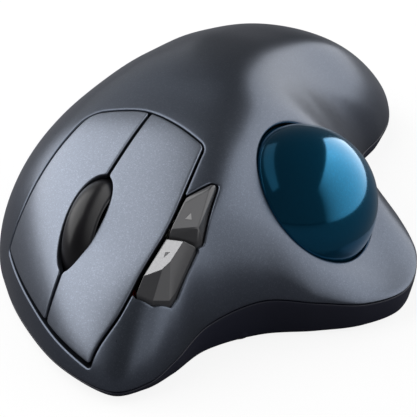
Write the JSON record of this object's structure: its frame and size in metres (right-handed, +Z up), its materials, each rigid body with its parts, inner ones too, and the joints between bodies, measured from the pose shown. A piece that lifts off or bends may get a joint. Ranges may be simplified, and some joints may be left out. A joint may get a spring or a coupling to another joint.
{
  "type": "trackball mouse",
  "caption": "Right-handed wireless trackball mouse with a large side ball worked by the thumb, two flexing main buttons, a scroll wheel and two small faceted buttons.",
  "frame": {"origin": "middle of the footprint, on the plane of the feet", "axes": "+Z up; +Y from the buttons towards the palm, along the body's length; +X towards the thumb side that carries the ball"},
  "size_m": [0.0931, 0.1429, 0.0412],
  "materials": {
    "shell_paint": "satin graphite blue-grey with a fine sparkle",
    "lower_plastic": "dark navy-black satin moulding",
    "button_paint": "satin graphite blue-grey with a fine sparkle",
    "small_button_plastic": "glossy dark bronze-grey",
    "wheel_rubber": "smooth satin rubber",
    "inner_plastic": "moulded",
    "bright_steel": "ground",
    "spring_steel": "drawn wire",
    "part_green": "moulded",
    "ball_pearl": "glossy deep blue with fine pearl flakes",
    "cup_plastic": "fine moulded texture",
    "ruby": "polished",
    "board_green": "solder mask",
    "chip_black": "epoxy",
    "can_aluminium": "sleeved can",
    "switch_black": "moulded",
    "plunger_red": "moulded",
    "plunger_amber": "moulded",
    "clear_lens": "polished",
    "ribbon_film": "flexible film",
    "cell_label": "plain wrapped steel can",
    "receiver_black": "gloss",
    "plug_steel": "stamped sheet",
    "slider_grey": "moulded",
    "feet_ptfe": "low-friction pad",
    "dark_screw": "blackened"
  },
  "bodies": {
    "case": {"top_cover": "shell_paint", "bottom_case": "lower_plastic", "wheel_bracket": "inner_plastic", "wheel_encoder": "part_green", "ball_cup": "cup_plastic", "bearing_balls": "ruby", "main_board": "board_green", "radio_chip": "chip_black", "capacitor": "can_aluminium", "left_switch": "switch_black", "right_switch": "switch_black", "middle_switch": "switch_black", "side_board": "board_green", "forward_switch": "switch_black", "back_switch": "switch_black", "sensor_board": "board_green", "optical_sensor": "chip_black", "sensor_lens": "clear_lens", "ribbon_cable": "ribbon_film", "wheel_spring": "spring_steel", "battery": "cell_label", "battery_contact": "spring_steel", "battery_spring": "spring_steel", "receiver_cap": "receiver_black", "receiver_plug": "plug_steel", "power_switch": "plug_steel", "feet": "feet_ptfe", "case_screws": "dark_screw", "board_screws": "bright_steel"},
    "index_press": {"left_button": "button_paint"},
    "middle_press": {"right_button": "button_paint"},
    "forward_press": {"forward_button": "small_button_plastic"},
    "back_press": {"back_button": "small_button_plastic"},
    "fork": {"wheel_carrier": "inner_plastic"},
    "wheel": {"wheel_tyre": "wheel_rubber", "wheel_hub": "inner_plastic", "wheel_axle": "bright_steel"},
    "ball": {"trackball": "ball_pearl"},
    "left_plunger": {"left_plunger": "plunger_red"},
    "right_plunger": {"right_plunger": "plunger_red"},
    "middle_plunger": {"middle_plunger": "plunger_amber"},
    "forward_plunger": {"forward_plunger": "plunger_amber"},
    "back_plunger": {"back_plunger": "plunger_amber"},
    "door": {"battery_door": "lower_plastic"},
    "slider": {"power_slider": "slider_grey"}
  },
  "joints": [
    {"name": "ball_spin", "type": "hinge", "parent": "case", "child": "ball", "pos_m": [0.0199, -0.0135, 0.02], "axis": [0, 1, 0], "continuous": true},
    {"name": "left_press", "type": "hinge", "parent": "case", "child": "index_press", "pos_m": [-0.004, -0.0255, 0.0345], "axis": [1, 0, 0], "range_deg": [0, 0.9], "stiffness_Nm_per_rad": 1.5, "springref_deg": -1.72},
    {"name": "right_press", "type": "hinge", "parent": "case", "child": "middle_press", "pos_m": [-0.004, -0.0255, 0.0345], "axis": [1, 0, 0], "range_deg": [0, 0.9], "stiffness_Nm_per_rad": 1.5, "springref_deg": -1.72},
    {"name": "forward_press", "type": "slide", "parent": "case", "child": "forward_press", "axis": [0, 0, -1], "range_m": [0, 0.0006], "stiffness_N_per_m": 400, "springref_m": -0.0003},
    {"name": "back_press", "type": "slide", "parent": "case", "child": "back_press", "axis": [0, 0, -1], "range_m": [0, 0.0006], "stiffness_N_per_m": 400, "springref_m": -0.0003},
    {"name": "wheel_press", "type": "hinge", "parent": "case", "child": "fork", "pos_m": [-0.0136, -0.0544, 0.01], "axis": [-1, 0, 0], "range_deg": [0, 1.2], "stiffness_Nm_per_rad": 1.2, "springref_deg": -1.72, "deforming": ["wheel_spring"]},
    {"name": "wheel_spin", "type": "hinge", "parent": "fork", "child": "wheel", "pos_m": [-0.0136, -0.0456, 0.0217], "axis": [1, 0, 0], "continuous": true},
    {"name": "left_plunger_slide", "type": "slide", "parent": "case", "child": "left_plunger", "axis": [0, 0, -1], "range_m": [0, 0.00046]},
    {"name": "right_plunger_slide", "type": "slide", "parent": "case", "child": "right_plunger", "axis": [0, 0, -1], "range_m": [0, 0.00038]},
    {"name": "middle_plunger_slide", "type": "slide", "parent": "case", "child": "middle_plunger", "axis": [0, 0, -1], "range_m": [0, 0.0006]},
    {"name": "forward_plunger_slide", "type": "slide", "parent": "case", "child": "forward_plunger", "axis": [0, 0, -1], "range_m": [0, 0.0006]},
    {"name": "back_plunger_slide", "type": "slide", "parent": "case", "child": "back_plunger", "axis": [0, 0, -1], "range_m": [0, 0.0006]},
    {"name": "power_slide", "type": "slide", "parent": "case", "child": "slider", "axis": [1, 0, 0], "range_m": [0, 0.003]},
    {"name": "door_open", "type": "hinge", "parent": "case", "child": "door", "pos_m": [-0.014, 0.0063, 0.0016], "axis": [-1, 0, 0], "range_deg": [0, 60]}
  ],
  "couplings": [
    {"joint": "left_plunger_slide", "follows": "left_press", "m_per_rad": 0.0271},
    {"joint": "right_plunger_slide", "follows": "right_press", "m_per_rad": 0.0221},
    {"joint": "middle_plunger_slide", "follows": "wheel_press", "m_per_rad": 0.0256},
    {"joint": "forward_plunger_slide", "follows": "forward_press", "ratio": 1},
    {"joint": "back_plunger_slide", "follows": "back_press", "ratio": 1}
  ]
}
